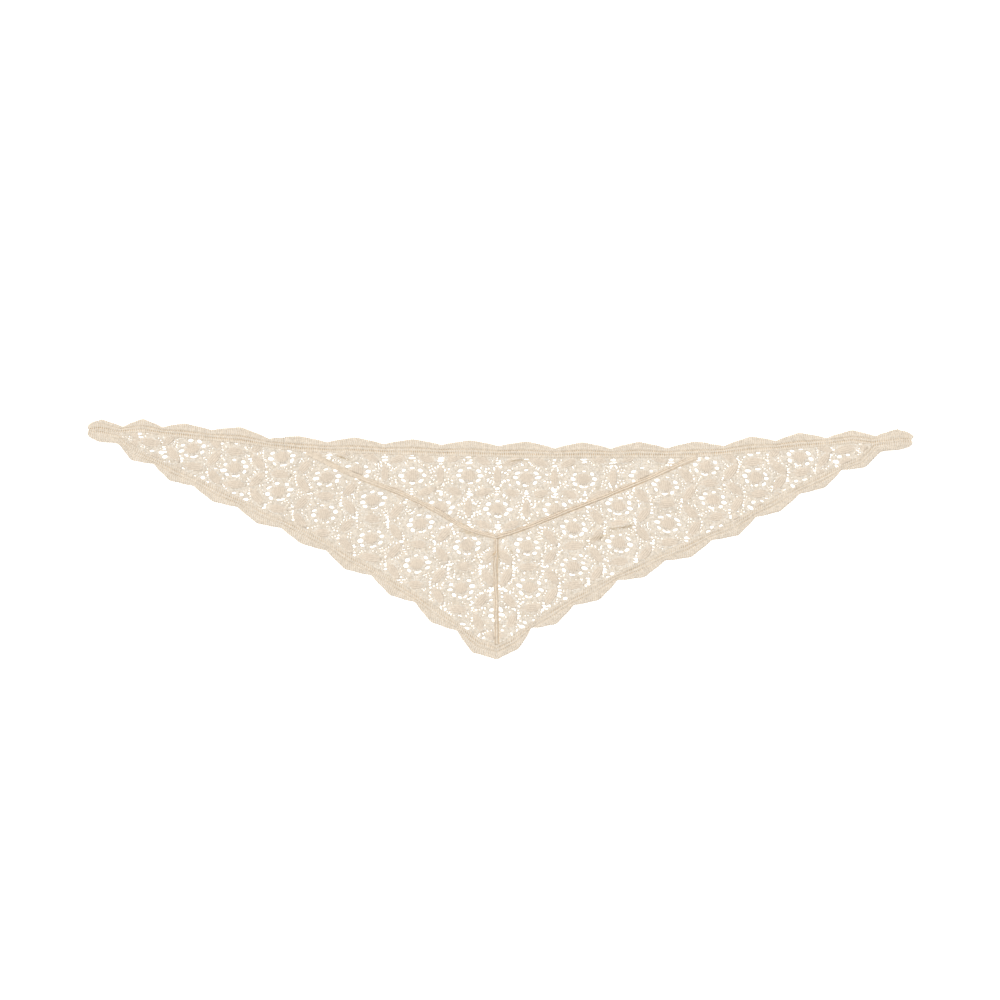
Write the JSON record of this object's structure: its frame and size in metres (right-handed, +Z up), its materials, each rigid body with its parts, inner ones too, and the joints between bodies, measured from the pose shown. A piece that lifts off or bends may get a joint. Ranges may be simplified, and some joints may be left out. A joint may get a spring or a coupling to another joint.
{
  "type": "triangular crochet lace scarf",
  "caption": "Triangular crochet lace scarf laid flat: floral lace panels joined by raised seams, with a ribbed scalloped border all round.",
  "frame": {"origin": "under the middle of the scarf's bounding box, on the surface that it lies on", "axes": "+X along the long top edge towards the right-hand tip, +Y from the lower point towards the top edge, +Z up off the surface"},
  "size_m": [1.0998, 0.32, 0.003],
  "materials": {
    "lace": "matt cream cotton, crochet lace with open holes",
    "seam": "matt cream cotton, rolled and overcast seam",
    "border": "matt cream cotton, dense crochet ribs"
  },
  "bodies": {
    "root": {"panel_centre": "lace", "panel_left": "lace", "panel_right": "lace", "seam_centre": "seam", "seam_left": "seam", "seam_right": "seam", "border_top_left": "border", "border_top_centre": "border", "border_top_right": "border", "border_lower_left": "border", "border_lower_right": "border"}
  },
  "joints": []
}
